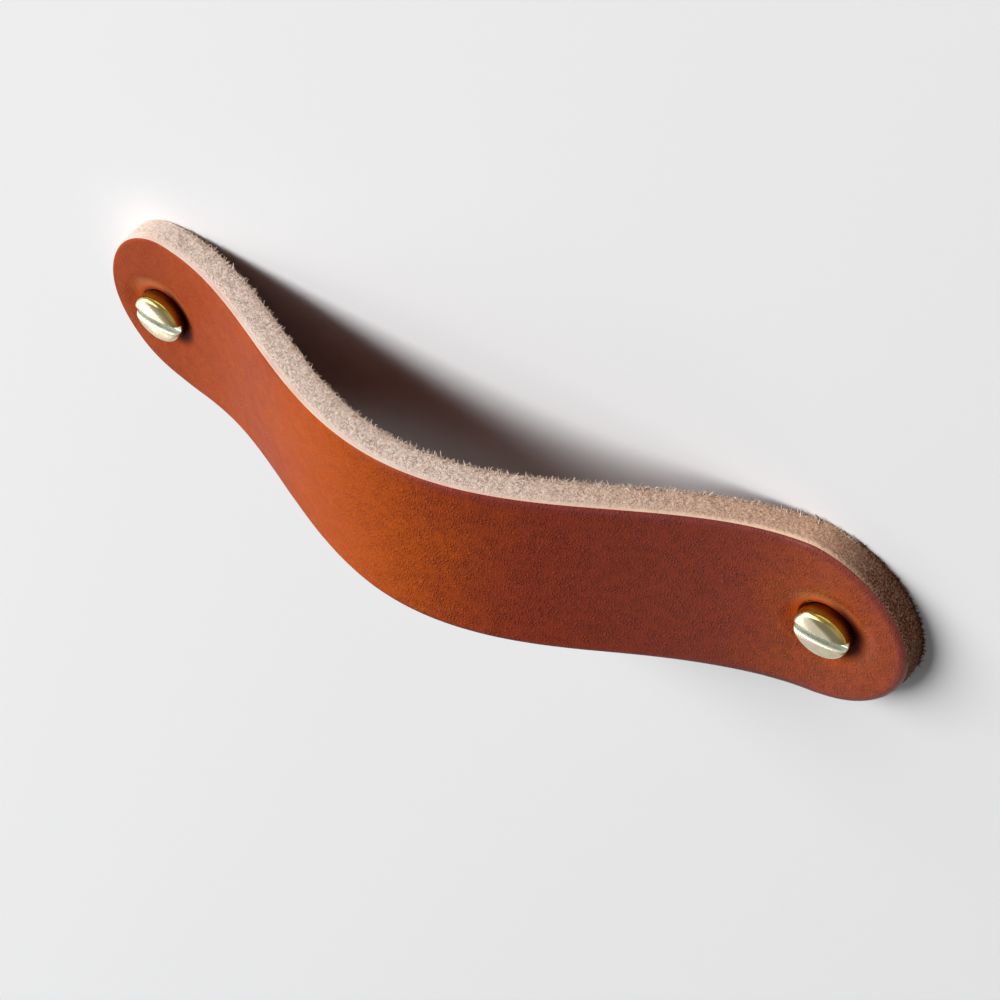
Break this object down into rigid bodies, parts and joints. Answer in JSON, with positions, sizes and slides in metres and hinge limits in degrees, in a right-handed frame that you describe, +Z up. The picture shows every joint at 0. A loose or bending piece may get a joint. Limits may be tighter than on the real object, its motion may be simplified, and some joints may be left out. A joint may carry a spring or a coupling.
{
  "type": "leather strap pull",
  "caption": "Drawer pull: a thick leather strap bowed outwards between slotted brass machine screws, each with a washer and a nut behind.",
  "frame": {"origin": "on the outer face of the drawer front, midway between the two screws", "axes": "+X along the strap, +Y into the drawer front, along the screws, +Z up; the strap bows out towards -Y"},
  "size_m": [0.1148, 0.0451, 0.026],
  "materials": {
    "tan_leather": "dyed smooth grain outside, bare cut edge and flesh side",
    "polished_brass": "polished",
    "plain_brass": "plain turned and stamped"
  },
  "bodies": {
    "root": {"leather_strap": "tan_leather", "left_screw": "polished_brass", "left_washer": "plain_brass", "left_nut": "plain_brass", "right_screw": "polished_brass", "right_washer": "plain_brass", "right_nut": "plain_brass"}
  },
  "joints": []
}
